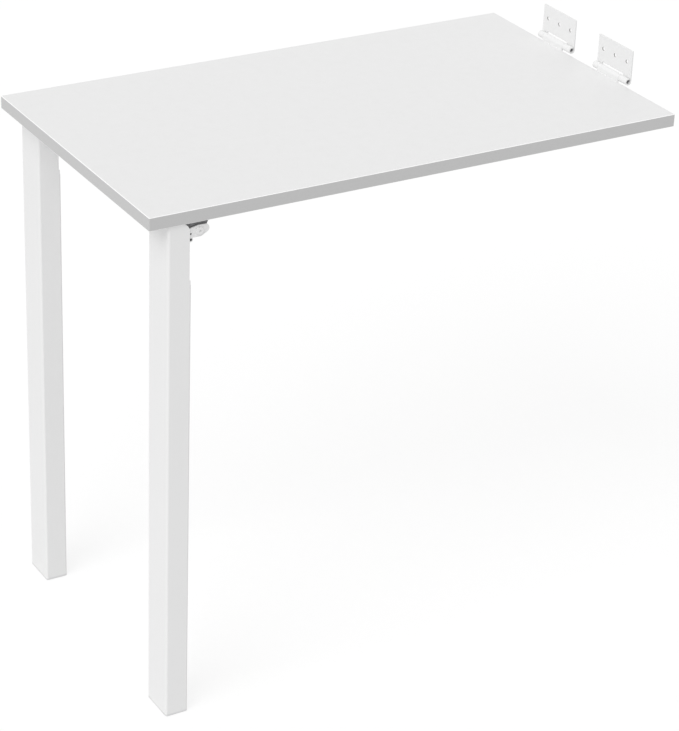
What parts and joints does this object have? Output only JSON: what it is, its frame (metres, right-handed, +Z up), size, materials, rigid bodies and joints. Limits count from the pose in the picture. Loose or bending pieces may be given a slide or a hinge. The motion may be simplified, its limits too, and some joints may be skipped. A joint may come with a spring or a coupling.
{
  "type": "wall-mounted folding table",
  "caption": "Rectangular top hinged to a wall and carried at its free end by folding tube legs; the legs fold under it and it swings up against the wall.",
  "frame": {"origin": "on the floor line of the wall, midway between the hinges: the back faces of the wall leaves lie in the plane y = 0", "axes": "+Z up, +Y into the wall, the table reaching into the room towards -Y, +X to the right of someone who faces the wall"},
  "size_m": [0.45, 0.81, 0.8],
  "materials": {
    "white_laminate": "matt white melamine over particle board",
    "grey_edging": "light grey satin plastic edging",
    "hinge_white": "white powder coat, satin",
    "pin_steel": "plain steel, dull",
    "screw_zinc": "bright zinc plate",
    "bracket_black": "black coat, satin",
    "leg_white": "white powder coat, satin",
    "bracket_white": "white powder coat, satin",
    "screw_white": "white coat, satin",
    "bolt_white": "white coat, satin",
    "cap_white": "white moulded plastic, satin",
    "plug_black": "black moulded plastic, matt",
    "pin_black": "black oxide",
    "washer_nylon": "black nylon, matt"
  },
  "bodies": {
    "wall_leaves": {"wall_leaf_left": "hinge_white", "wall_leaf_right": "hinge_white", "hinge_pin_left": "pin_steel", "hinge_pin_right": "pin_steel"},
    "table_top": {"top_panel": "white_laminate", "edge_band_end": "grey_edging", "edge_band_wall": "grey_edging", "edge_band_left": "grey_edging", "edge_band_right": "grey_edging", "table_leaf_left": "hinge_white", "table_leaf_right": "hinge_white", "table_leaf_screws_left": "screw_zinc", "table_leaf_screws_right": "screw_zinc", "base_bracket_left": "bracket_black", "base_bracket_right": "bracket_black", "base_screws_left": "screw_zinc", "base_screws_right": "screw_zinc"},
    "left_leg": {"leg_tube_left": "leg_white", "foot_cap_left": "cap_white", "top_plug_left": "plug_black", "leg_bracket_left": "bracket_white", "bracket_screws_left": "screw_white", "stop_pin_left": "pin_black", "friction_washers_left": "washer_nylon", "pivot_bolt_left": "bolt_white", "pivot_nut_left": "screw_zinc"},
    "right_leg": {"leg_tube_right": "leg_white", "foot_cap_right": "cap_white", "top_plug_right": "plug_black", "leg_bracket_right": "bracket_white", "bracket_screws_right": "screw_white", "stop_pin_right": "pin_black", "friction_washers_right": "washer_nylon", "pivot_bolt_right": "bolt_white", "pivot_nut_right": "screw_zinc"}
  },
  "joints": [
    {"name": "wall_fold", "type": "hinge", "parent": "wall_leaves", "child": "table_top", "pos_m": [0, -0.005, 0.755], "axis": [-1, 0, 0], "range_deg": [0, 90]},
    {"name": "left_leg_fold", "type": "hinge", "parent": "table_top", "child": "left_leg", "pos_m": [-0.1945, -0.7375, 0.7175], "axis": [1, 0, 0], "range_deg": [0, 90]},
    {"name": "right_leg_fold", "type": "hinge", "parent": "table_top", "child": "right_leg", "pos_m": [0.1945, -0.7375, 0.7175], "axis": [1, 0, 0], "range_deg": [0, 90]}
  ]
}
